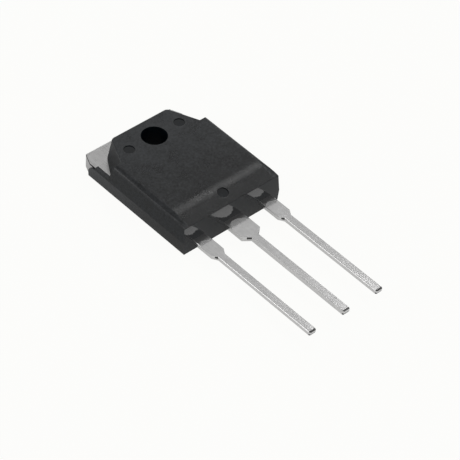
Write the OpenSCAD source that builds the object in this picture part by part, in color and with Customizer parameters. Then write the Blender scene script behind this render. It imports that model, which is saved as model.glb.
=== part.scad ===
// Three-lead power transistor in a flat moulded package with exposed metal ears.
// Millimetres. The origin is where the hole's axis meets the metal back. +Z points out of the
// front face and +Y towards the ears. The leads point along -Y, and the part lies on its back.

/* [Package] */
// Width over the moulding at its parting line
body_w = 15.6; // [15.4:0.1:17]
// Length from the plate's top edge to the moulding's lead end
body_l = 19.9; // [19:0.1:22]
// Thickness from the metal back to the front face
body_t = 4.8; // [4.4:0.1:5.6]

/* [Mounting hole] */
// Diameter of the screw hole
hole_d = 3.2; // [2.6:0.1:4]
// From the hole's axis to the plate's top edge
hole_edge = 5; // [4.4:0.1:5.6]
// How far the mouth widens at the front face, on the radius
mouth_flare = 0.12; // [0.05:0.01:0.3]
// Depth of the widened mouth
mouth_h = 0.4; // [0.2:0.1:0.8]
// Plastic that lines the hole inside the plate
sleeve_wall = 0.4; // [0.3:0.1:0.8]

/* [Moulding] */
// How far each side leans in from the parting line to the front face
side_draft = 0.12; // [0.1:0.02:0.4]
// How far each side leans in from the parting line to the back
back_draft = 0.1; // [0:0.02:0.2]
// How far the lead end leans in from the parting line to its top edge
end_draft = 0.25; // [0.1:0.05:0.5]
// Height of the lead end's top edge above the back
end_z = 4.17; // [3.6:0.01:4.3]
// From the lead end to the crest where the front face starts to fall
slope_l = 2.9; // [2:0.1:3.4]
// Radius of the crest between the front face and the slope
crest_r = 3.6; // [0.5:0.1:4]
// Radius of the two long edges of the front face
side_r = 0.75; // [0.1:0.05:0.8]
// Radius of the front face's other outer edges
edge_r = 0.16; // [0.05:0.01:0.25]
// Width of the narrow end at the plate
neck_foot_w = 10.1; // [9.4:0.1:11]
// Width of the narrow end at the front face
neck_top_w = 9.1; // [8.4:0.1:9.4]
// From the plate's top edge to the foot of the narrow end
neck_setback = 1.9; // [1.4:0.1:2.6]
// How far the narrow end leans back between its foot and the front face
neck_lean = 0.15; // [0.05:0.05:0.4]
// Corner radius of the narrow end, seen from the front
neck_r = 0.4; // [0.1:0.1:0.8]
// From the hole's axis down to the foot of the shoulders
shoulder_drop = 0.4; // [0:0.1:1]
// How far the shoulders lean back between the foot and the front face
shoulder_lean = 0.9; // [0.3:0.1:1.4]
// Width between the shoulders' inner corners at the front face
shoulder_top_w = 12.9; // [12:0.1:13.2]
// Radius of the shallow ejector marks
mark_r = 0.75; // [0.4:0.05:1]
// Depth of the ejector marks
mark_h = 0.08; // [0.04:0.01:0.15]
// From the centre line to each of the two upper ejector marks
mark_x = 4.1; // [3.4:0.1:4.2]
// From the crest down to the lower ejector mark
mark_drop = 0.95; // [0.8:0.05:1.2]

/* [Side rails] */
// How high the rails stand above the plate's front
rail_lap = 0.2; // [0.1:0.05:0.4]
// How far the rails reach over the plate's ears
rail_over = 0.35; // [0.2:0.05:0.5]
// From the plate's top edge to the low end of each rail
rail_setback = 1.5; // [1.3:0.1:2]
// Radius of the rails' rounded ends
rail_r = 1.2; // [0.8:0.1:1.4]
// Length of the flat ledge between a rail's rounded end and its higher part
rail_ledge = 0.05; // [0.02:0.01:0.3]

/* [Metal plate] */
// Thickness of the plate
plate_t = 2; // [1.9:0.05:2.4]
// Length of the plate from its top edge to its inner end
plate_l = 16; // [15.4:0.1:16.2]
// Plastic between the ears' sides and the moulding's width
ear_inset = 0.2; // [0.15:0.05:0.4]
// Width of the ears' cut corners
corner_w = 0.7; // [0.3:0.1:1.2]
// Length of the ears' cut corners
corner_l = 1.6; // [1:0.1:1.6]
// How far the plate steps in below the ears
waist_step = 0.4; // [0.2:0.05:0.6]
// How far the back of the plate steps in, so that the plastic grips it
lock_step = 0.4; // [0.2:0.05:0.6]
// Height of that step above the back
lock_z = 0.9; // [0.6:0.1:1.1]
// Depth of the two grooves across the plate's front
groove_h = 0.2; // [0.1:0.05:0.4]
// From the die's edges to the middle of each groove
groove_gap = 1.1; // [0.8:0.1:1.4]

/* [Leads] */
// Distance between the leads
pitch = 5.45; // [5:0.05:5.6]
// Length of the leads outside the moulding
lead_l = 20.4; // [15:0.1:21]
// Width of the leads
lead_w = 1.05; // [0.8:0.05:1.3]
// Thickness of the leads
lead_t = 0.65; // [0.5:0.05:0.7]
// Height of the leads' underside above the back
lead_z = 1.2; // [1.1:0.05:1.3]
// Width of the outer leads next to the moulding
outer_root_w = 2; // [1.6:0.1:2.4]
// Width of the middle lead next to the moulding
middle_root_w = 3; // [2.4:0.1:3.4]
// Length of the wide roots outside the moulding
root_l = 3.4; // [2:0.1:4]
// Length of the taper from root to lead
root_taper = 0.75; // [0.4:0.05:1.2]
// Cut corners at the leads' tips
tip_cut = 0.12; // [0.05:0.01:0.25]

/* [Inside] */
// Gap between the plate's end and the bond pads
pad_gap = 0.7; // [0.5:0.1:0.9]
// Length of the bond pads
pad_l = 1.5; // [1.3:0.1:1.7]
// Gap between the bond pads and the middle lead
pad_side_gap = 1; // [0.7:0.1:1.3]
// Plastic outside the bond pads
pad_cover = 0.8; // [0.6:0.1:1.2]
// Diameter of the locking holes in the outer leads
lock_hole_d = 0.8; // [0.6:0.1:1]
// Side of the square die
die_w = 5; // [4:0.1:5.6]
// Thickness of the die
die_t = 0.3; // [0.2:0.05:0.5]
// From the hole's axis to the middle of the die
die_drop = 6.2; // [5.8:0.1:6.6]
// Thickness of the solder under the die
solder_t = 0.08; // [0.04:0.01:0.15]
// How far the solder shows around the die
solder_rim = 0.15; // [0.05:0.05:0.3]
// From the wires' feet on the die to the die's edge
die_rim = 0.4; // [0.2:0.1:0.8]
// Diameter of the base wire
base_wire_d = 0.3; // [0.2:0.05:0.4]
// Diameter of the two emitter wires
emitter_wire_d = 0.4; // [0.3:0.05:0.5]
// Distance between the two emitter wires
wire_pitch = 1.2; // [0.9:0.1:1.4]
// Rise of the wires' loops
loop_h = 1.1; // [0.9:0.05:1.3]
// Length of a wire's flat foot on the die and on the pad
foot_l = 0.7; // [0.5:0.05:0.8]

/* [Hidden] */
$fn = 64;
beyond = 1;
fine_steps = 12;
shoulder_bury = 0.4;
plate_top_y = hole_edge;
end_y = hole_edge - body_l;
plate_end_y = hole_edge - plate_l;
parting_z = lead_z + lead_t;
crest_y = end_y + slope_l;
slope_angle = atan((body_t - end_z) / (slope_l - end_draft));
neck_y = plate_top_y - neck_setback;
foot_y = -shoulder_drop;
rail_low_y = plate_top_y - rail_setback;
rail_high_y = rail_low_y - rail_r - rail_ledge;
ear_x = body_w / 2 - ear_inset;
ear_foot_y = plate_top_y - corner_l;
rail_inner_x = ear_x - rail_over;
waist_x = ear_x - waist_step;
lock_x = waist_x - lock_step;
lined_r = hole_d / 2 + sleeve_wall;
die_y = -die_drop;
die_z = plate_t + solder_t;
die_top = die_z + die_t;
groove_y = die_w / 2 + groove_gap;
root_end_y = end_y - root_l;
tip_y = end_y - lead_l;
pad_top_y = plate_end_y - pad_gap;
pad_inner_x = middle_root_w / 2 + pad_side_gap;
pad_outer_x = body_w / 2 - pad_cover;
lock_hole_y = (pad_top_y - pad_l + end_y) / 2;
bond_y = pad_top_y - pad_l / 2 - foot_l / 2;
wire_start_y = die_y - die_w / 2 + die_rim + foot_l;

// A vector's direction
function unit(v) = v / norm(v);

// Points of the arc of radius r that rounds corner b between a and c
function corner(a, b, c, r, steps) =
    let (u = unit(a - b), v = unit(c - b), half = acos(u * v) / 2,
         centre = b + unit(u + v) * r / sin(half),
         arm = b + u * r / tan(half) - centre,
         turn = sign(cross(v, u)) * (180 - 2 * half))
    [for (i = [0:steps]) let (t = turn * i / steps)
        centre + [arm.x * cos(t) - arm.y * sin(t), arm.x * sin(t) + arm.y * cos(t)]];

// An outline whose corners are rounded by the radii given, where 0 keeps a corner sharp
function rounded(points, radii, steps = 6) =
    let (n = len(points))
    [for (i = [0:n - 1])
        each radii[i] > 0
            ? corner(points[(i + n - 1) % n], points[i], points[(i + 1) % n], radii[i], steps)
            : [points[i]]];

// The right half of an outline, listed from its top to its bottom, with its mirror image
function both_sides(half) =
    concat(half, [for (i = [len(half) - 1:-1:0]) [-half[i].x, half[i].y]]);

// Extrudes an outline of [y, z] points across the whole width
module across() {
    translate([-body_w, 0, 0]) rotate([90, 0, 90]) linear_extrude(2 * body_w) children();
}

// Extrudes an outline of [x, z] points along the whole length
module lengthwise() {
    translate([0, plate_top_y + beyond, 0]) rotate([90, 0, 0])
        linear_extrude(body_l + 2 * beyond) children();
}

// Section of the moulding across its width, widest at the parting line
module cross_section() {
    polygon(rounded(both_sides([
        [body_w / 2 - side_draft, body_t],
        [body_w / 2, parting_z],
        [body_w / 2 - back_draft, 0]]),
        [side_r, 0, 0, 0, 0, side_r], fine_steps));
}

// Side view of the wide part, from the shoulders over the crest to the lead end
module body_profile() {
    polygon(rounded([
        [foot_y, 0],
        [foot_y, plate_t],
        [foot_y - shoulder_lean, body_t],
        [crest_y, body_t],
        [end_y + end_draft, end_z],
        [end_y, parting_z],
        [end_y + back_draft, 0]],
        [0, 0, edge_r, crest_r, edge_r, 0, 0]));
}

// Side view of the rails beside the plate, with their rounded ends
module rail_profile() {
    polygon(rounded([
        [foot_y - beyond, 0],
        [foot_y - beyond, plate_t + rail_lap],
        [rail_high_y, plate_t + rail_lap],
        [rail_high_y, parting_z],
        [rail_low_y, parting_z],
        [rail_low_y, 0]],
        [0, 0, min(edge_r, rail_lap), 0, rail_r, 0], fine_steps));
}

// Skin between outlines of equal length that run clockwise, each given as [height, points]
module loft(levels) {
    n = len(levels[0][1]);
    last = len(levels) - 1;
    points = [for (level = levels, p = level[1]) [p.x, p.y, level[0]]];
    sides = [for (i = [0:last - 1], k = [0:n - 1])
        let (a = i * n + k, b = i * n + (k + 1) % n)
        each [[a, b, a + n], [b, b + n, a + n]]];
    polyhedron(points, concat(sides, [
        [for (k = [n - 1:-1:0]) k],
        [for (k = [0:n - 1]) last * n + k]]), convexity = 4);
}

// Outline of the narrow end at a share t of its height, set in from the drafted wall.
// Its sides run on into the wide part, past the shoulders.
function neck_outline(t, inset) =
    let (tip = [neck_foot_w / 2 * (1 - t) + neck_top_w / 2 * t - inset,
                neck_y - neck_lean * t - inset],
         shoulder = [rail_inner_x * (1 - t) + shoulder_top_w / 2 * t - inset,
                     foot_y - shoulder_lean * t],
         buried = shoulder + unit(shoulder - tip) * shoulder_bury)
    rounded(both_sides([tip, buried, [buried.x, foot_y - shoulder_lean - beyond]]),
            [neck_r, 0, 0, 0, 0, neck_r]);

// The narrow end around the hole, drafted from inside the plate to the rounded front edge
module neck() {
    wall_h = body_t - plate_t;
    wall_steps = 6;
    edge_steps = 3;
    loft(concat(
        [for (i = [-1:wall_steps]) let (t = i / wall_steps * (1 - edge_r / wall_h))
            [plate_t + wall_h * t, neck_outline(t, 0)]],
        [for (i = [1:edge_steps])
            let (a = 90 * i / edge_steps, h = edge_r * (1 - sin(a)))
            [body_t - h, neck_outline(1 - h / wall_h, edge_r * (1 - cos(a)))]]));
}

// Everything that the mould fills, before the metal inside is taken away
module moulding_blank() {
    intersection() {
        lengthwise() cross_section();
        across() body_profile();
    }
    difference() {
        intersection() {
            lengthwise() cross_section();
            across() rail_profile();
        }
        translate([-rail_inner_x, foot_y, plate_t])
            cube([2 * rail_inner_x, plate_top_y - foot_y, body_t]);
    }
    neck();
}

// Shallow round marks that the ejector pins leave on the front
module ejector_marks() {
    for (side = [-1, 1])
        translate([side * mark_x, 0, body_t - mark_h]) cylinder(r = mark_r, h = beyond);
    translate([0, crest_y, body_t]) rotate([slope_angle, 0, 0])
        translate([0, -mark_drop, -mark_h]) cylinder(r = mark_r, h = beyond);
}

// The screw hole with its widened mouth
module screw_hole() {
    translate([0, 0, -beyond]) cylinder(d = hole_d, h = body_t + 2 * beyond);
    translate([0, 0, body_t - mouth_h])
        cylinder(r1 = hole_d / 2, r2 = hole_d / 2 + mouth_flare, h = mouth_h);
}

// Outline of the plate: ears with cut corners, a step at step_y, then straight sides
module plate_outline(step_y, side_x) {
    polygon(both_sides([
        [ear_x - corner_w, plate_top_y],
        [ear_x, ear_foot_y],
        [ear_x, step_y],
        [side_x, step_y],
        [side_x, plate_end_y]]));
}

// A groove across the plate's front that the plastic fills
module groove(y) {
    translate([0, y, plate_t]) rotate([45, 0, 0])
        cube([2 * body_w, groove_h * sqrt(2), groove_h * sqrt(2)], center = true);
}

// A flat lead from inner_y to its tip: a wide root, a taper, then the narrow lead
module lead_strip(x, root_w, inner_y) {
    translate([x, 0, lead_z]) linear_extrude(lead_t)
        polygon(both_sides([
            [root_w / 2, inner_y],
            [root_w / 2, root_end_y],
            [lead_w / 2, root_end_y - root_taper],
            [lead_w / 2, tip_y + tip_cut],
            [lead_w / 2 - tip_cut, tip_y]]));
}

// One outer lead: a bond pad beside the plate's end, a locking hole and the lead outside
module outer_lead(side) {
    difference() {
        union() {
            lead_strip(side * pitch, outer_root_w, pad_top_y - pad_l / 2);
            translate([side * (pad_inner_x + pad_outer_x) / 2, pad_top_y - pad_l / 2, lead_z])
                linear_extrude(lead_t)
                    square([pad_outer_x - pad_inner_x, pad_l], center = true);
        }
        translate([side * pitch, lock_hole_y, 0]) cylinder(d = lock_hole_d, h = body_t);
    }
}

// The wire's height above its foot's bottom line at a share t of the span between the feet
function loop_z(t, z0, z1) =
    z0 + (z1 - z0) * t * t * (3 - 2 * t) + loop_h * pow(sin(180 * t), 2);

// A round wire in a plane: flat feet at from and to, and one loop between them
module bond_wire(from, to, d) {
    sides = 8;
    steps = 16;
    r = d / 2;
    flat = r * cos(180 / sides);
    run = [to.x - from.x, to.y - from.y];
    span = norm(run);
    along = unit(run);
    path = concat(
        [[0, from.z + flat]],
        [for (i = [0:steps]) let (t = i / steps)
            [foot_l + (span - 2 * foot_l) * t, loop_z(t, from.z + flat, to.z + flat)]],
        [[span, to.z + flat]]);
    last = len(path) - 1;
    points = [for (i = [0:last])
        let (ahead = i <= 1 || i >= last - 1 ? [1, 0] : unit(path[i + 1] - path[i - 1]))
        for (k = [0:sides - 1])
        let (a = 360 * (k + 0.5) / sides,
             s = path[i].x - ahead.y * r * sin(a),
             z = path[i].y + ahead.x * r * sin(a),
             off = r * cos(a))
        [from.x + along.x * s - along.y * off, from.y + along.y * s + along.x * off, z]];
    skin = [for (i = [0:last - 1], k = [0:sides - 1])
        let (a = i * sides + k, b = i * sides + (k + 1) % sides)
        each [[a, a + sides, b], [b, a + sides, b + sides]]];
    polyhedron(points, concat(skin, [
        [for (k = [0:sides - 1]) k],
        [for (k = [sides - 1:-1:0]) last * sides + k]]), convexity = 4);
}

module collector_plate() {
    color([0.78, 0.78, 0.76]) difference() {
        union() {
            linear_extrude(plate_t) plate_outline(ear_foot_y, lock_x);
            translate([0, 0, lock_z]) linear_extrude(plate_t - lock_z)
                plate_outline(rail_high_y, waist_x);
            lead_strip(0, middle_root_w, plate_end_y + beyond);
        }
        translate([0, 0, -beyond]) cylinder(r = lined_r, h = plate_t + 2 * beyond);
        groove(die_y + groove_y);
        groove(die_y - groove_y);
    }
}

module base_lead() {
    color([0.74, 0.75, 0.76]) outer_lead(-1);
}

module emitter_lead() {
    color([0.74, 0.75, 0.76]) outer_lead(1);
}

module die() {
    color([0.35, 0.37, 0.42])
        translate([-die_w / 2, die_y - die_w / 2, die_z]) cube([die_w, die_w, die_t]);
}

module die_solder() {
    solder_w = die_w + 2 * solder_rim;
    color([0.62, 0.63, 0.65])
        translate([-solder_w / 2, die_y - solder_w / 2, plate_t])
            cube([solder_w, solder_w, solder_t]);
}

module base_wire() {
    color([0.85, 0.85, 0.86])
        bond_wire([-die_w / 4, wire_start_y, die_top],
                  [-pitch + wire_pitch / 2, bond_y, parting_z], base_wire_d);
}

// One of the two emitter wires, shifted sideways from the middle of its bonds
module emitter_wire(shift) {
    color([0.85, 0.85, 0.86])
        bond_wire([die_w / 4 + shift, wire_start_y, die_top],
                  [pitch - wire_pitch / 2 + shift, bond_y, parting_z], emitter_wire_d);
}

module emitter_wire_inner() {
    emitter_wire(-wire_pitch / 2);
}

module emitter_wire_outer() {
    emitter_wire(wire_pitch / 2);
}

module moulding() {
    color([0.2, 0.2, 0.21]) difference() {
        moulding_blank();
        collector_plate();
        base_lead();
        emitter_lead();
        die();
        die_solder();
        base_wire();
        emitter_wire_inner();
        emitter_wire_outer();
        screw_hole();
        ejector_marks();
    }
}

moulding();
collector_plate();
base_lead();
emitter_lead();
die();
die_solder();
base_wire();
emitter_wire_inner();
emitter_wire_outer();
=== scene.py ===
import math

import bmesh
import bpy
from mathutils import Matrix, Vector


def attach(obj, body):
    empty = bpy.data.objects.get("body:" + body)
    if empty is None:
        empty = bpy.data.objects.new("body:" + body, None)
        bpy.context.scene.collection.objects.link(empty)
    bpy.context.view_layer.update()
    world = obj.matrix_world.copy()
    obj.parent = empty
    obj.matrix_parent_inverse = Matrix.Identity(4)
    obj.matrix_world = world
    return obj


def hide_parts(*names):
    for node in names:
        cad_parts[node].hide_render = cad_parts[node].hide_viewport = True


mm = 0.001
hair = 0.01                 # mm, nearer than this counts as the same place
skin = 0.001                # mm, how far a cutter stands clear of a face that it follows
cutSpan = (-1, 6)           # mm, the heights between which a through cut runs
planeThreshold = 1e-7       # m, corners nearer to a cutting plane lie on it
sliverWidth = 5e-7          # m, narrower faces are dissolved

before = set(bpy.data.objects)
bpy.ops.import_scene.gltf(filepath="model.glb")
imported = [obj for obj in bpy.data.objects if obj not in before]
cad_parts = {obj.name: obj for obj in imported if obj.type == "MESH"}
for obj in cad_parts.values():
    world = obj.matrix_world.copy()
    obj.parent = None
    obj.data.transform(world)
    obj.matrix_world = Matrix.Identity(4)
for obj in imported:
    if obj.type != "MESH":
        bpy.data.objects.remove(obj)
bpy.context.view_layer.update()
print("frame loaded:", len(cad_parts), "nodes")


# Selecting and cutting

def pick(*pieces):
    bpy.ops.object.select_all(action="DESELECT")
    for piece in pieces:
        piece.select_set(True)
    bpy.context.view_layer.objects.active = pieces[0]


def openUp(piece, mode="VERT"):
    pick(piece)
    bpy.ops.object.mode_set(mode="EDIT")
    bpy.ops.mesh.select_mode(type=mode)
    bpy.ops.mesh.select_all(action="DESELECT")


def closeUp():
    bpy.ops.object.mode_set(mode="OBJECT")


# Selects the corners whose place in mm passes the test
def markCorners(piece, test):
    mesh = bmesh.from_edit_mesh(piece.data)
    for corner in mesh.verts:
        corner.select_set(test(corner.co / mm))
    mesh.select_flush_mode()
    bmesh.update_edit_mesh(piece.data)


# Selects the edges whose two ends in mm pass the test
def markEdges(piece, test):
    mesh = bmesh.from_edit_mesh(piece.data)
    for edge in mesh.edges:
        edge.select_set(test(edge.verts[0].co / mm, edge.verts[1].co / mm))
    bmesh.update_edit_mesh(piece.data)


def shift(piece, test, x=0, y=0, z=0):
    openUp(piece)
    markCorners(piece, test)
    bpy.ops.transform.translate(value=(x * mm, y * mm, z * mm))
    closeUp()


# Cuts off what lies beyond a plane and closes the cut
def trim(piece, point, normal):
    openUp(piece)
    bpy.ops.mesh.select_all(action="SELECT")
    bpy.ops.mesh.bisect(plane_co=Vector(point) * mm, plane_no=Vector(normal).normalized(),
                        use_fill=True, clear_outer=True, threshold=planeThreshold)
    closeUp()


# Adds a row of edges where a plane meets the piece, without removing anything
def ring(piece, point, normal):
    openUp(piece)
    bpy.ops.mesh.select_all(action="SELECT")
    bpy.ops.mesh.bisect(plane_co=Vector(point) * mm, plane_no=normal,
                        threshold=planeThreshold)
    closeUp()


def roundEdges(piece, test, width, segments):
    openUp(piece, "EDGE")
    markEdges(piece, test)
    bpy.ops.mesh.bevel(offset=width * mm, segments=segments, affect="EDGES")
    closeUp()


def block(name, low, high):
    bpy.ops.object.select_all(action="DESELECT")
    bpy.ops.mesh.primitive_cube_add(
        size=1, location=[(a + b) / 2 * mm for a, b in zip(low, high)],
        scale=[(b - a) * mm for a, b in zip(low, high)])
    piece = bpy.context.object
    piece.name = name
    bpy.ops.object.transform_apply(location=True, rotation=True, scale=True)
    return piece


def rod(name, radius, bottom, top, x=0, y=0, topRadius=None, sides=96):
    bpy.ops.object.select_all(action="DESELECT")
    bpy.ops.mesh.primitive_cone_add(
        vertices=sides, radius1=radius * mm, radius2=(topRadius or radius) * mm,
        depth=(top - bottom) * mm, location=(x * mm, y * mm, (top + bottom) / 2 * mm))
    piece = bpy.context.object
    piece.name = name
    bpy.ops.object.transform_apply(location=True, rotation=True, scale=True)
    return piece


# Turns a piece about X, then moves it, and keeps both in its mesh
def place(piece, point, turn):
    pick(piece)
    piece.rotation_euler = (turn, 0, 0)
    piece.location = Vector(point) * mm
    bpy.ops.object.transform_apply(location=True, rotation=True, scale=True)


# Joins a tool to a piece, or cuts it away
def combine(piece, tool, operation):
    pick(piece)
    bpy.ops.object.modifier_add(type="BOOLEAN")
    modifier = piece.modifiers[-1]
    modifier.operation = operation
    modifier.solver = "EXACT"
    modifier.object = tool
    bpy.ops.object.modifier_apply(modifier=modifier.name)
    bpy.data.objects.remove(tool)


# A flat stamping: a strip that follows stations of (y, half width), then gets its thickness
def stamp(name, x, stations, bottom, thickness):
    firstY, firstHalf = stations[0]
    nextY = stations[1][0]
    bpy.ops.object.select_all(action="DESELECT")
    bpy.ops.mesh.primitive_plane_add(
        size=1, location=(x * mm, (firstY + nextY) / 2 * mm, bottom * mm))
    piece = bpy.context.object
    piece.name = name
    piece.scale = (2 * firstHalf * mm, abs(nextY - firstY) * mm, 1)
    bpy.ops.object.transform_apply(location=True, rotation=True, scale=True)
    centre = (x * mm, 0, bottom * mm)
    openUp(piece)
    y, half = nextY, firstHalf
    for index, (stationY, stationHalf) in enumerate(stations[1:]):
        markCorners(piece, lambda c: abs(c.y - y) < hair)
        if index:
            bpy.ops.mesh.select_mode(type="EDGE")
            bpy.ops.mesh.extrude_region_move(
                TRANSFORM_OT_translate={"value": (0, (stationY - y) * mm, 0)})
            bpy.ops.mesh.select_mode(type="VERT")
        bpy.ops.transform.resize(value=(stationHalf / half, 1, 1), center_override=centre)
        y, half = stationY, stationHalf
    bpy.ops.mesh.select_all(action="SELECT")
    bpy.ops.mesh.extrude_region_move(
        TRANSFORM_OT_translate={"value": (0, 0, thickness * mm)})
    bpy.ops.mesh.select_all(action="SELECT")
    bpy.ops.mesh.normals_make_consistent(inside=False)
    closeUp()
    return piece


edgeShading = {"roundAbove": 40, "segments": 3, "smoothBelow": 50}


# Rounds the outer sharp edges a little and shades the flats flat
def soften(piece, width):
    if width:
        sharp = math.radians(edgeShading["roundAbove"])
        openUp(piece, "EDGE")
        mesh = bmesh.from_edit_mesh(piece.data)
        for edge in mesh.edges:
            edge.select_set(edge.is_convex and edge.calc_face_angle(0) > sharp)
        bmesh.update_edit_mesh(piece.data)
        bpy.ops.mesh.bevel(offset=width * mm, segments=edgeShading["segments"],
                           affect="EDGES", clamp_overlap=True)
        closeUp()
    pick(piece)
    bpy.ops.object.shade_smooth_by_angle(angle=math.radians(edgeShading["smoothBelow"]))
    bpy.ops.object.modifier_add(type="WEIGHTED_NORMAL")
    piece.modifiers[-1].keep_sharp = True
    bpy.ops.object.modifier_apply(modifier=piece.modifiers[-1].name)


# The plate and the middle lead, stamped from one strip

# The lock is the narrower foot under the plate's sides, which the plastic grips. The shade band
# is the depth of the painted shade along the ears' upper edge.
plateSize = {
    "earHalf": 7.6, "topY": 5.0, "cornerHalf": 6.9, "cornerY": 3.4,
    "waistHalf": 7.2, "waistY": 2.25, "lockHalf": 6.8, "lockZ": 0.9,
    "endY": -11.0, "thickness": 2.0, "linedRadius": 2.0, "leadOverlap": 1.0,
    "grooveY": (-2.6, -9.8), "grooveDepth": 0.2, "grooveHalf": 9.0,
    "step": 0.02, "edge": 0.1, "edgeShadeBand": 0.19,
}
leadSize = {
    "pitch": 5.45, "bottomZ": 1.2, "thickness": 0.65, "half": 0.525, "rootEndY": -18.3,
    "taperEndY": -19.05, "tipY": -35.3, "outerRootHalf": 1.0, "middleRootHalf": 1.5,
    "padTopY": -11.7, "padLength": 1.5, "padInnerX": 2.5, "padOuterX": 7.0,
    "lockHoleRadius": 0.4, "lockHoleY": -14.05, "lockSpan": (0, 3), "edge": 0.1,
    "shearZ": 1.5, "shearSlant": 0.1, "tipRound": 0.25, "tipHalf": 0.4515,
}


def modelPlate(size, name="plateWithMiddleLead", grow=0.0):
    step = size["step"]
    front = stamp(name, 0, [
        (size["endY"], size["waistHalf"]), (size["waistY"], size["waistHalf"]),
        (size["waistY"] + step, size["earHalf"]), (size["cornerY"], size["earHalf"]),
        (size["topY"], size["cornerHalf"])],
        size["lockZ"], size["thickness"] - size["lockZ"] + grow)
    # A row of edges at the top of the painted shade band along the ears' edge
    ring(front, (0, 0, size["thickness"] - size["edgeShadeBand"]), (0, 0, 1))
    back = stamp("plateBack", 0, [
        (size["endY"], size["lockHalf"]), (size["cornerY"] - step, size["lockHalf"]),
        (size["cornerY"], size["earHalf"]), (size["topY"], size["cornerHalf"])],
        -grow, size["lockZ"] + grow)
    combine(front, back, "UNION")
    return front


def modelLead(name, x, rootHalf, innerY, size):
    lead = stamp(name, x, [
        (innerY, rootHalf), (size["rootEndY"], rootHalf),
        ((size["rootEndY"] + size["taperEndY"]) / 2, (rootHalf + size["half"]) / 2),
        (size["taperEndY"], size["half"]),
        (size["tipY"] + size["tipRound"], size["half"]), (size["tipY"], size["tipHalf"])],
        size["bottomZ"], size["thickness"])
    # The cutter leaves a smooth upper band and a slanted, torn lower one
    ring(lead, (0, 0, size["shearZ"]), (0, 0, 1))
    shift(lead, lambda c: c.y < size["tipY"] + hair and c.z < size["shearZ"] - hair,
          y=size["shearSlant"])
    return lead


def modelPad(lead, side, size):
    pad = block("pad", (min(side * size["padInnerX"], side * size["padOuterX"]),
                        size["padTopY"] - size["padLength"], size["bottomZ"]),
                (max(side * size["padInnerX"], side * size["padOuterX"]),
                 size["padTopY"], size["bottomZ"] + size["thickness"]))
    combine(lead, pad, "UNION")
    lock = rod("lock", size["lockHoleRadius"], *size["lockSpan"], side * size["pitch"],
               size["lockHoleY"])
    combine(lead, lock, "DIFFERENCE")


plate = modelPlate(plateSize)
middle = modelLead("middleLead", 0, leadSize["middleRootHalf"],
                   plateSize["endY"] + plateSize["leadOverlap"], leadSize)
combine(plate, middle, "UNION")
combine(plate, rod("lining", plateSize["linedRadius"], *cutSpan), "DIFFERENCE")
# A square bar turned by 45 degrees presses each V-groove
barHalf = plateSize["grooveDepth"] * math.sqrt(0.5)
for grooveY in plateSize["grooveY"]:
    bar = block("bar", (-plateSize["grooveHalf"], -barHalf, -barHalf),
                (plateSize["grooveHalf"], barHalf, barHalf))
    place(bar, (0, grooveY, plateSize["thickness"]), math.radians(45))
    combine(plate, bar, "DIFFERENCE")
soften(plate, plateSize["edge"])
print("plate with the middle lead:", len(plate.data.polygons), "faces")

leads = {}
for side, node in ((-1, "base_lead"), (1, "emitter_lead")):
    lead = modelLead(node.replace("_lead", "Lead"), side * leadSize["pitch"],
                     leadSize["outerRootHalf"], leadSize["padTopY"] - leadSize["padLength"] / 2,
                     leadSize)
    modelPad(lead, side, leadSize)
    soften(lead, leadSize["edge"])
    leads[node] = lead
print("outer leads stamped")

# The moulded case

# Heights above the parting line lean by sideDraft, those below it by backDraft. The front
# face falls from the crest to the lead end. The neck stands between the ears, the rails beside
# them. spare is the stock that the walls are cut from.
caseSize = {
    "half": 7.8, "thickness": 4.8, "partingZ": 1.85, "sideDraft": 0.12, "backDraft": 0.1,
    "spare": 0.5, "sideRadius": 0.75, "sideSegments": 12, "holdX": 6.9,
    "endY": -14.9, "endDraft": 0.25, "endTopZ": 4.17, "endRadius": 0.08,
    "crestY": -12.0, "crestRadius": 7.0, "crestSteps": 12,
    "shoulderY": -0.4, "shoulderLean": 0.9, "plateTop": 2.0, "edge": 0.14, "edgeSteps": 4,
    "neckFootHalf": 5.05, "neckTopHalf": 4.55, "neckY": 3.1, "neckLean": 0.15, "neckSunk": 0.3,
    "shoulderTopHalf": 6.45, "neckCorner": 0.4, "neckSteps": 5, "buried": 0.4, "neckRings": 5,
    "railInnerX": 7.25, "railLowY": 3.5, "railHighY": 2.25, "railTop": 2.2, "railRound": 1.2,
    "railSteps": 10, "railEdgeSteps": 3, "railLap": 0.85, "channelZ": 1.5, "channelLap": 0.02,
    "holeRadius": 1.6, "mouthRadius": 1.72, "mouthDepth": 0.4,
    "liningRadius": 2.0, "liningTop": 2.2,
    "markRadius": 0.75, "markDepth": 0.1, "markFloor": 0.08, "markClear": 1, "markSides": 48,
    "markAt": ((-4.1, 0), (4.1, 0), (0, -12.93)),
}


def draftSides(piece, size):
    rise = size["thickness"] - size["partingZ"]
    for side in (-1, 1):
        edge = (side * size["half"], 0, size["partingZ"])
        trim(piece, edge, (side * rise, 0, size["sideDraft"]))
        trim(piece, edge, (side * size["partingZ"], 0, -size["backDraft"]))


# Rounds an edge along X by cuts that follow the arc between its faces. A lean is the angle
# of a face's normal from +Z towards -Y.
def curve(piece, edgeY, edgeZ, leans, radius, steps):
    middle = sum(leans) / 2
    reach = radius / math.cos((leans[1] - leans[0]) / 2)
    centreY = edgeY + math.sin(middle) * reach
    centreZ = edgeZ - math.cos(middle) * reach
    for step in range(1, steps):
        lean = leans[0] + (leans[1] - leans[0]) * step / steps
        outward = (0, -math.sin(lean), math.cos(lean))
        trim(piece, (0, centreY + outward[1] * radius, centreZ + outward[2] * radius), outward)


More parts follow.
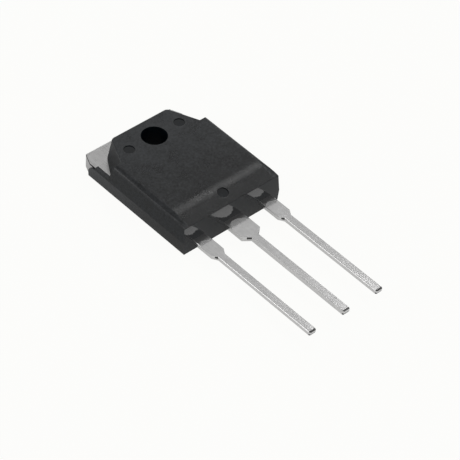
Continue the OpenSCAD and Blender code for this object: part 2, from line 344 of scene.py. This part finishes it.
def modelBody(size):
    spare = size["spare"]
    body = block("case", (-size["half"] - spare, size["endY"] - spare, 0),
                 (size["half"] + spare, size["shoulderY"] + spare, size["thickness"]))
    draftSides(body, size)
    wallLean = math.atan2(size["sideDraft"], size["thickness"] - size["partingZ"])
    roundEdges(body, lambda a, b: min(a.z, b.z) > size["thickness"] - hair
               and abs(a.x - b.x) < hair,
               size["sideRadius"] * math.tan((math.pi / 2 - wallLean) / 2), size["sideSegments"])
    ends = (0, size["endY"], size["partingZ"])
    trim(body, ends, (0, -(size["endTopZ"] - size["partingZ"]), size["endDraft"]))
    trim(body, ends, (0, -size["partingZ"], -size["backDraft"]))
    fall = size["thickness"] - size["endTopZ"]
    run = size["crestY"] - size["endY"] - size["endDraft"]
    trim(body, (0, size["crestY"], size["thickness"]), (0, -fall, run))
    rise = size["thickness"] - size["plateTop"]
    trim(body, (0, size["shoulderY"], size["plateTop"]), (0, rise, size["shoulderLean"]))
    slopeLean = math.atan2(fall, run)
    endLean = math.atan2(size["endTopZ"] - size["partingZ"], size["endDraft"])
    curve(body, size["crestY"], size["thickness"], (0, slopeLean),
          size["crestRadius"], size["crestSteps"])
    curve(body, size["endY"] + size["endDraft"], size["endTopZ"], (slopeLean, endLean),
          size["endRadius"], size["edgeSteps"])
    curve(body, size["shoulderY"] - size["shoulderLean"], size["thickness"],
          (0, -math.atan2(rise, size["shoulderLean"])), size["edge"], size["edgeSteps"])
    # A row of edges beside each rounded edge keeps the wide faces' shading flat
    for side in (-1, 1):
        ring(body, (side * size["holdX"], 0, 0), (1, 0, 0))
    return body


def modelNeck(size):
    foot, top = size["plateTop"] - size["neckSunk"], size["thickness"]
    neck = block("neck", (-1, -1, foot), (1, 1, top))
    # Each corner of the block goes to its own place. A share is 0 on the plate and 1 on top.
    for z, share in ((foot, -size["neckSunk"] / (top - size["plateTop"])), (top, 1.0)):
        tip = Vector((size["neckFootHalf"] * (1 - share) + size["neckTopHalf"] * share,
                      size["neckY"] - size["neckLean"] * share))
        shoulder = Vector((size["railInnerX"] * (1 - share) + size["shoulderTopHalf"] * share,
                           size["shoulderY"] - size["shoulderLean"] * share))
        buried = shoulder + (shoulder - tip).normalized() * size["buried"]
        for side in (-1, 1):
            for y, spot in ((1, tip), (-1, buried)):
                shift(neck, lambda c: (c - Vector((side, y, z))).length < hair,
                      x=side * (spot.x - 1), y=spot.y - y)
    for step in range(1, size["neckRings"] + 1):
        ring(neck, (0, 0, foot + (top - foot) * step / (size["neckRings"] + 1)), (0, 0, 1))
    roundEdges(neck, lambda a, b: min(a.y, b.y) > size["neckY"] / 2 and abs(a.z - b.z) > hair,
               size["neckCorner"], size["neckSteps"])
    roundEdges(neck, lambda a, b: min(a.z, b.z) > top - hair and max(a.y, b.y) > 0,
               size["edge"], size["edgeSteps"])
    return neck


def modelRails(size):
    outer, rear = size["half"] + size["spare"], size["shoulderY"] - size["spare"]
    rails = block("rails", (-outer, rear, 0), (outer, size["railLowY"], size["partingZ"]))
    roundEdges(rails, lambda a, b: min(a.y, b.y) > size["railLowY"] - hair
               and min(a.z, b.z) > size["partingZ"] - hair, size["railRound"], size["railSteps"])
    upper = block("upper", (-outer, rear, size["partingZ"] - size["railLap"]),
                  (outer, size["railHighY"], size["railTop"]))
    roundEdges(upper, lambda a, b: min(a.y, b.y) > size["railHighY"] - hair
               and min(a.z, b.z) > size["railTop"] - hair, size["edge"], size["railEdgeSteps"])
    combine(rails, upper, "UNION")
    draftSides(rails, size)
    channel = block("channel", (-size["railInnerX"], size["shoulderY"] - size["channelLap"],
                                size["channelZ"]),
                    (size["railInnerX"], cutSpan[1], cutSpan[1]))
    combine(rails, channel, "DIFFERENCE")
    return rails


# An ejector mark follows the front face, which falls by the lean of the slope behind the crest
def cutMark(piece, x, y, size):
    drop = max(0, size["crestY"] - y)
    cutter = rod("mark", size["markRadius"], -size["markDepth"], size["markClear"],
                 sides=size["markSides"])
    place(cutter, (x, y, size["thickness"] - drop * math.tan(slope)), slope if drop else 0)
    combine(piece, cutter, "DIFFERENCE")


case = modelBody(caseSize)
combine(case, modelNeck(caseSize), "UNION")
combine(case, modelRails(caseSize), "UNION")
combine(case, modelPlate(plateSize, "pocket", skin), "DIFFERENCE")
combine(case, rod("lining", caseSize["liningRadius"], 0, caseSize["liningTop"]), "UNION")
combine(case, rod("hole", caseSize["holeRadius"], *cutSpan), "DIFFERENCE")
combine(case, rod("mouth", caseSize["holeRadius"], caseSize["thickness"] - caseSize["mouthDepth"],
                  caseSize["thickness"] + skin, topRadius=caseSize["mouthRadius"]), "DIFFERENCE")
slope = math.atan2(caseSize["thickness"] - caseSize["endTopZ"],
                   caseSize["crestY"] - caseSize["endY"] - caseSize["endDraft"])
for markX, markY in caseSize["markAt"]:
    cutMark(case, markX, markY, caseSize)
openUp(case)
bpy.ops.mesh.select_all(action="SELECT")
bpy.ops.mesh.dissolve_degenerate(threshold=sliverWidth)
closeUp()
soften(case, 0)
print("case moulded:", len(case.data.polygons), "faces")


# Finishes

# One output of a node. Sums, products and the like of it add Math nodes.
class Value:
    def __init__(self, finish, socket):
        self.finish = finish
        self.socket = socket

    def math(self, operation, other, swapped=False):
        pair = (other, self) if swapped else (self, other)
        return self.finish.add("ShaderNodeMath", {"operation": operation},
                               {0: pair[0], 1: pair[1]})

    def __add__(self, other):
        return self.math("ADD", other)

    def __radd__(self, other):
        return self.math("ADD", other, True)

    def __sub__(self, other):
        return self.math("SUBTRACT", other)

    def __rsub__(self, other):
        return self.math("SUBTRACT", other, True)

    def __mul__(self, other):
        return self.math("MULTIPLY", other)

    def __rmul__(self, other):
        return self.math("MULTIPLY", other, True)

    def above(self, edge):
        return self.math("GREATER_THAN", edge)


class Finish:
    def __init__(self, name):
        self.material = bpy.data.materials.new(name)
        self.material.use_nodes = True
        self.tree = self.material.node_tree
        self.tree.nodes.clear()

    # Adds a node: its settings first, then the values or links of its inputs
    def add(self, kind, settings=None, inputs=None, output=0):
        node = self.tree.nodes.new(kind)
        for key, value in (settings or {}).items():
            setattr(node, key, value)
        for key, value in (inputs or {}).items():
            if isinstance(value, Value):
                self.tree.links.new(value.socket, node.inputs[key])
            else:
                node.inputs[key].default_value = value
        return Value(self, node.outputs[output]) if len(node.outputs) else None

    def spot(self):
        return self.add("ShaderNodeTexCoord", output="Object")

    # The place along one axis, in metres
    def along(self, axis):
        split = self.add("ShaderNodeSeparateXYZ", {}, {"Vector": self.spot()})
        return Value(self, split.socket.node.outputs[axis])

    # A sawtooth that folds back at every step, so a pattern repeats at twice the step
    def folded(self, axis, step):
        return self.add("ShaderNodeMath", {"operation": "PINGPONG"},
                        {0: self.along(axis), 1: step * mm})

    def stretched(self, scale):
        return self.add("ShaderNodeMapping", {}, {"Vector": self.spot(), "Scale": scale})

    # Noise whose grain is about `grain` mm across
    def noise(self, grain, detail, rough, where=None):
        return self.add("ShaderNodeTexNoise", {"noise_dimensions": "3D"}, {
            "Vector": where or self.spot(), "Scale": 1 / (grain * mm), "Detail": detail,
            "Roughness": rough})

    def between(self, factor, first, second):
        return self.add("ShaderNodeMix", {"data_type": "RGBA"},
                        {0: factor, 6: first, 7: second}, output=2)

    def bump(self, height, depth):
        return self.add("ShaderNodeBump", {}, {
            "Height": height, "Distance": depth * mm, "Strength": 1.0})

    def shade(self, **inputs):
        shader = self.add("ShaderNodeBsdfPrincipled", {}, {
            key.replace("_", " "): value for key, value in inputs.items()})
        self.add("ShaderNodeOutputMaterial", {}, {"Surface": shader})
        return self.material


def grey(level, tint=0.0):
    return (level - tint, level, level + tint, 1)


# The mould is spark-eroded on the front, its long edges and the walls, and nearly polished on
# the lead end and in the marks. Painted shade makes the front a little darker towards the leads.
satinLook = {
    "dark": 0.001, "light": 0.034, "roughness": 0.3, "grain": 0.14, "depth": 0.014,
    "patch": 2.0, "specular": 0.38, "cloudiness": 0.8, "speckle": 1.4,
    "paintedFrontShade": 0.06, "paintedFrontShadeMiddleY": -4.0,
}
edgeLook = dict(satinLook, paintedFrontShade=0)
# The walls and the neck's sides are rougher and less glossy than the front, and their colour is
# painted darker too: painted shade
shadedWallLook = {
    "dark": 0.001, "light": 0.02, "roughness": 0.42, "grain": 0.14, "depth": 0.014,
    "patch": 2.0, "specular": 0.26, "cloudiness": 1.0, "speckle": 2.0, "paintedFrontShade": 0,
}
polishedLook = {
    "dark": 0.004, "light": 0.008, "roughness": 0.1, "grain": 0.2, "depth": 0.0006,
    "patch": 1.2, "specular": 0.5, "cloudiness": 1.0, "speckle": 1.0, "paintedFrontShade": 0,
}
# Painted shade: a near-black epoxy for the walls of the hole and for a line along the ears' upper
# edge
paintedShadeLook = {
    "dark": 0.001, "light": 0.003, "roughness": 0.5, "grain": 0.2, "depth": 0.002,
    "patch": 1.2, "specular": 0.1, "cloudiness": 1.0, "speckle": 1.0, "paintedFrontShade": 0,
}
resin = {"speckGrain": 2.2, "darkTint": 0.0006, "lightTint": 0.003,
         "patchRoughness": 0.14, "grainRoughness": 0.1}


def epoxy(name, look):
    finish = Finish(name)
    fine = finish.noise(look["grain"], detail=3, rough=0.6)
    patch = finish.noise(look["patch"], detail=3, rough=0.55)
    specks = finish.noise(look["grain"] * resin["speckGrain"], detail=1, rough=0.5)
    tone = (patch - 0.5) * look["cloudiness"] + (specks - 0.5) * look["speckle"] + 0.5
    # Painted shade: the colour darkens steadily along Y towards the leads
    if look["paintedFrontShade"]:
        tone = tone + (finish.along("Y") - look["paintedFrontShadeMiddleY"] * mm) * (look["paintedFrontShade"] / mm)
    colour = finish.between(tone, grey(look["dark"], resin["darkTint"]),
                            grey(look["light"], resin["lightTint"]))
    roughness = ((patch - 0.5) * resin["patchRoughness"]
                 + (fine - 0.5) * resin["grainRoughness"] + look["roughness"])
    return finish.shade(Base_Color=colour, Roughness=roughness,
                        Specular_IOR_Level=look["specular"],
                        Normal=finish.bump(fine, look["depth"]))


tinLook = {"dark": 0.62, "light": 0.98, "roughness": 0.12, "mottle": 0.04, "streak": 0.14,
           "depth": 0.0012}
plateLook = {"dark": 0.48, "light": 0.6, "roughness": 0.3, "mottle": 0.2, "streak": 0.16,
             "depth": 0.003}
# The film ends at endY, further out along a root's sides (bend) and on the outer roots (spread)
filmLook = {"tone": 0.2, "roughness": 0.2, "endY": -15.4, "bend": 0.45, "spread": 0.009,
            "ragged": 1.2}
# Rolled metal: lines along the strip, clouds in the plating and fine pits, by their shares
rolled = {"warmth": 0.004, "stretch": (1, 0.05, 1), "cloudGrain": 0.9, "pitGrain": 0.3,
          "lines": 0.45, "clouds": 0.35, "pits": 0.2, "lineRoughness": 0.6, "middle": 0.8}


def plated(name, look, film=None):
    finish = Finish(name)
    lines = finish.noise(look["streak"], detail=2, rough=0.55,
                         where=finish.stretched(rolled["stretch"]))
    cloud = finish.noise(rolled["cloudGrain"], detail=3, rough=0.55)
    pits = finish.noise(rolled["pitGrain"], detail=1, rough=0.5)
    tone = lines * rolled["lines"] + cloud * rolled["clouds"] + pits * rolled["pits"]
    colour = finish.between(tone, grey(look["dark"], -rolled["warmth"]),
                            grey(look["light"], -rolled["warmth"]))
    roughness = ((cloud + lines * rolled["lineRoughness"] - rolled["middle"]) * look["mottle"]
                 + look["roughness"])
    if film:
        x = finish.along("X")
        aside = finish.folded("X", leadSize["pitch"] / 2)
        edge = (aside * aside * (film["bend"] / mm) + (cloud - 0.5) * film["ragged"] * mm
                + x * x * (film["spread"] / mm))
        mask = (finish.along("Y") + edge).above(film["endY"] * mm)
        colour = finish.between(mask, colour, grey(film["tone"]))
        roughness = mask * film["roughness"] + roughness
    return finish.shade(Base_Color=colour, Roughness=roughness, Metallic=1.0,
                        Normal=finish.bump(lines, look["depth"]))


# The chip's top has comb-shaped contact fingers, its sides are bare silicon
dieLook = {
    "silicon": grey(0.09, 0.02), "metal": grey(0.72), "finger": 0.36, "topZ": 2.37,
    "haze": 0.5, "hazeRoughness": 0.1, "roughness": 0.18, "metalRoughness": 0.12,
    "bareMetallic": 0.1,
}


def silicon(look):
    finish = Finish("chipSilicon")
    mask = (finish.folded("X", look["finger"] / 2).above(look["finger"] / 4 * mm)
            * finish.along("Z").above(look["topZ"] * mm))
    haze = finish.noise(look["haze"], detail=2, rough=0.5)
    colour = finish.between(mask, look["silicon"], look["metal"])
    roughness = ((haze - 0.5) * look["hazeRoughness"] + mask * look["metalRoughness"]
                 + look["roughness"])
    metallic = mask * (1 - look["bareMetallic"]) + look["bareMetallic"]
    return finish.shade(Base_Color=colour, Roughness=roughness, Metallic=metallic)


shearedLook = {"dark": 0.04, "light": 0.16, "roughness": 0.45, "grain": 0.3, "depth": 0.004}
solderLook = {"dark": 0.3, "light": 0.46, "roughness": 0.42, "grain": 0.3, "depth": 0.01}
wireLook = {"dark": 0.72, "light": 0.86, "roughness": 0.3, "grain": 0.06, "depth": 0.002}
dullMottle = 0.2


def dullMetal(name, look):
    finish = Finish(name)
    tone = finish.noise(look["grain"], detail=3, rough=0.6)
    colour = finish.between(tone, grey(look["dark"]), grey(look["light"]))
    return finish.shade(Base_Color=colour, Metallic=1.0,
                        Roughness=(tone - 0.5) * dullMottle + look["roughness"],
                        Normal=finish.bump(tone, look["depth"]))


satin = epoxy("satinEpoxy", satinLook)
polished = epoxy("polishedEpoxy", polishedLook)
paintedShadeEpoxy = epoxy("paintedShadeEpoxy", paintedShadeLook)
shadedWallEpoxy = epoxy("shadedWallEpoxy", shadedWallLook)
edgeEpoxy = epoxy("edgeEpoxy", edgeLook)
tinned = plated("tinnedLead", tinLook)
filmed = plated("filmedRoot", tinLook, filmLook)
sheared = dullMetal("shearedEnd", shearedLook)
plateMetal = plated("platedPlate", plateLook)


def dress(piece, node, slotName, *finishes):
    piece.data.materials.clear()
    for finish in finishes:
        piece.data.materials.append(finish)
    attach(piece, "root")
    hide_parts(node)


# Gives a finish to the faces whose middle in mm and normal pass the test
def finishFaces(piece, finish, test):
    openUp(piece, "FACE")
    mesh = bmesh.from_edit_mesh(piece.data)
    for face in mesh.faces:
        face.select_set(test(face.calc_center_median() / mm, face.normal))
    bmesh.update_edit_mesh(piece.data)
    piece.active_material_index = piece.data.materials.find(finish.name)
    bpy.ops.object.material_slot_assign()
    closeUp()


# Limits on a face's normal: a drafted wall's points up by more than upright and less than steep,
# or neckSteep round the neck, that of an end or a floor is beyond square, that of a lead's top
# beyond flat
facing = {"upright": 0.01, "steep": 0.2, "neckSteep": 0.4, "aside": 0.14, "back": 0.3,
          "half": 0.5, "square": 0.9, "flat": 0.99}
wallEndY = caseSize["endY"] + 1
neckStartY = caseSize["shoulderY"] - 1.2
endFaceY = caseSize["endY"] + 0.3
edgeStartX = caseSize["holdX"] + 0.05
plateFinishY = plateSize["endY"] - plateSize["leadOverlap"]


# Tells whether a point lies on the floor of an ejector mark, below the surface around it
def inMark(c, size):
    surface = size["thickness"] - max(0, size["crestY"] - c.y) * math.tan(slope)
    return size["endTopZ"] < c.z < surface - size["markFloor"] and any(
        math.hypot(c.x - x, c.y - y) < size["markRadius"] for x, y in size["markAt"])


dress(case, "moulding", "moulded_epoxy", satin, polished, paintedShadeEpoxy, shadedWallEpoxy, edgeEpoxy)
# Painted shade: the walls and the neck's sides get the darker wall epoxy
finishFaces(case, shadedWallEpoxy, lambda c, n: c.y > wallEndY
            and facing["upright"] < n.z < facing["neckSteep" if c.y > neckStartY else "steep"])
finishFaces(case, edgeEpoxy, lambda c, n: wallEndY < c.y < neckStartY
            and abs(c.x) > edgeStartX and n.z > facing["steep"])
finishFaces(case, polished, lambda c, n: c.y < endFaceY and n.y < -facing["square"])
# Painted shade darkens the walls of the hole
finishFaces(case, paintedShadeEpoxy, lambda c, n: abs(n.z) < facing["square"]
            and math.hypot(c.x, c.y) < caseSize["mouthRadius"])
finishFaces(case, polished, lambda c, n: n.z > facing["square"] and inMark(c, caseSize))


# Resin film on the flat tops of the roots, and bare metal where the tips and the bar between
# the roots were sheared off
def finishLead(piece, size):
    notchY = (size["rootEndY"] + size["taperEndY"]) / 2
    finishFaces(piece, filmed, lambda c, n: size["taperEndY"] < c.y < plateFinishY
                and n.z > facing["flat"])
    finishFaces(piece, sheared, lambda c, n: size["taperEndY"] < c.y < notchY
                and c.z > size["shearZ"] and n.y < -facing["back"] and n.z < facing["half"])
    # The top of each tip's last rounding gets the dark sheared finish too, which keeps it from
    # glinting
    finishFaces(piece, sheared, lambda c, n: c.y < size["tipY"] + size["tipRound"]
                and (n.z > facing["steep"] or c.z < size["shearZ"]))


dress(plate, "collector_plate", "plated_plate", tinned, filmed, sheared, plateMetal, paintedShadeEpoxy)
finishFaces(plate, plateMetal, lambda c, n: c.y > plateFinishY)
# Painted shade: a thin dark line along the ears' upper edge
finishFaces(plate, paintedShadeEpoxy, lambda c, n: c.y > plateSize["waistY"]
            and abs(n.x) > facing["aside"] and n.z < facing["flat"]
            and c.z > plateSize["thickness"] - plateSize["edgeShadeBand"])
finishLead(plate, leadSize)
for node, lead in leads.items():
    dress(lead, node, "tinned_lead", tinned, filmed, sheared)
    finishLead(lead, leadSize)

# The chip, its solder and the wires keep their own meshes
innerFinishes = {
    "die": silicon(dieLook),
    "die_solder": dullMetal("dieSolder", solderLook),
    "bondWire": dullMetal("bondWire", wireLook),
}
for node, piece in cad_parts.items():
    finish = innerFinishes.get("bondWire" if "wire" in node else node)
    if finish:
        for index in range(len(piece.data.materials)):
            piece.data.materials[index] = finish
print("finishes set")

# Studio: a pale floor and four round lamps

# To the camera the floor is nearly all glow, so the part's shadow on it stays light, and mirrors
# see less of that glow.
studio = {
    "aim": (0, -12, 2), "lampDistance": 2400, "world": 0.46, "floorSize": 3000,
    "floorZ": -0.02, "floorGrey": 0.74, "floorGlow": (1, 1, 0.985, 1), "cameraGlow": 0.95,
    "glossyGlow": 0.3,
}
# By the part's axes: behind right, front right, behind left, and above the front left. A lamp's
# glow is its own brightness as a mirror would show it, where 1 is white.
lamps = {
    "keyLamp": {"towards": (0.54, 0.325, 0.776), "size": 500, "glow": 7.1},
    "frontLamp": {"towards": (0.505, -0.514, 0.693), "size": 1200, "glow": 1.7},
    "rimLamp": {"towards": (-0.79, 0.52, 0.32), "size": 1000, "glow": 2.2},
    "fillLamp": {"towards": (-0.45, -0.25, 0.86), "size": 1600, "glow": 0.8},
}


def hang(name, towards, size, glow):
    light = bpy.data.lights.new(name, "AREA")
    light.shape = "DISK"
    light.size = size * mm
    light.energy = glow * math.pi * math.pi * light.size ** 2 / 4
    lamp = bpy.data.objects.new(name, light)
    bpy.context.scene.collection.objects.link(lamp)
    away = Vector(towards).normalized()
    lamp.location = (Vector(studio["aim"]) + away * studio["lampDistance"]) * mm
    lamp.rotation_euler = away.to_track_quat("Z", "Y").to_euler()


for name, values in lamps.items():
    hang(name, **values)

world = bpy.data.worlds.new("studioWorld")
bpy.context.scene.world = world
world.use_nodes = True
background = world.node_tree.nodes["Background"]
background.inputs["Color"].default_value = grey(studio["world"])
background.inputs["Strength"].default_value = 1.0

bpy.ops.object.select_all(action="DESELECT")
bpy.ops.mesh.primitive_plane_add(size=studio["floorSize"] * mm,
                                 location=(0, 0, studio["floorZ"] * mm))
floor = bpy.context.object
floor.name = "floor"
paper = Finish("floorPaper")
ray = paper.add("ShaderNodeLightPath", output="Is Camera Ray")
glossy = Value(paper, ray.socket.node.outputs["Is Glossy Ray"])
through = Value(paper, ray.socket.node.outputs["Is Transmission Ray"])
share = ray * studio["cameraGlow"] + (glossy + through) * studio["glossyGlow"]
matte = paper.add("ShaderNodeBsdfDiffuse", {}, {"Color": grey(studio["floorGrey"])})
glow = paper.add("ShaderNodeEmission", {}, {"Color": studio["floorGlow"], "Strength": 1.0})
surface = paper.add("ShaderNodeMixShader", {}, {0: share, 1: matte, 2: glow})
paper.add("ShaderNodeOutputMaterial", {}, {"Surface": surface})
floor.data.materials.append(paper.material)

# Camera, fitted to the corners of the body and the tips of the leads

view = {"azimuth": -44.501, "elevation": 43.891, "roll": 4.014, "distance": 309.1,
        "target": (-0.41, -15.047, 0), "focal": 2511.5, "pixels": 460, "sensor": 36,
        "clipStart": 10}
azimuth, elevation = math.radians(view["azimuth"]), math.radians(view["elevation"])
backward = Vector((math.sin(azimuth) * math.cos(elevation),
                   -math.cos(azimuth) * math.cos(elevation), math.sin(elevation)))
level = (-backward).cross(Vector((0, 0, 1))).normalized()
upward = level.cross(-backward)
roll = math.radians(view["roll"])
right = level * math.cos(roll) + upward * math.sin(roll)
up = upward * math.cos(roll) - level * math.sin(roll)
cameraData = bpy.data.cameras.new("camera")
cameraData.sensor_width = view["sensor"]
cameraData.lens = view["focal"] / view["pixels"] * view["sensor"]
cameraData.clip_start = view["clipStart"] * mm
camera = bpy.data.objects.new("camera", cameraData)
bpy.context.scene.collection.objects.link(camera)
eye = (Vector(view["target"]) + backward * view["distance"]) * mm
turned = Matrix((right, up, backward)).transposed().to_4x4()
camera.matrix_world = Matrix.Translation(eye) @ turned
bpy.context.scene.camera = camera

bpy.context.scene.view_settings.view_transform = "Standard"
print("camera and studio set")
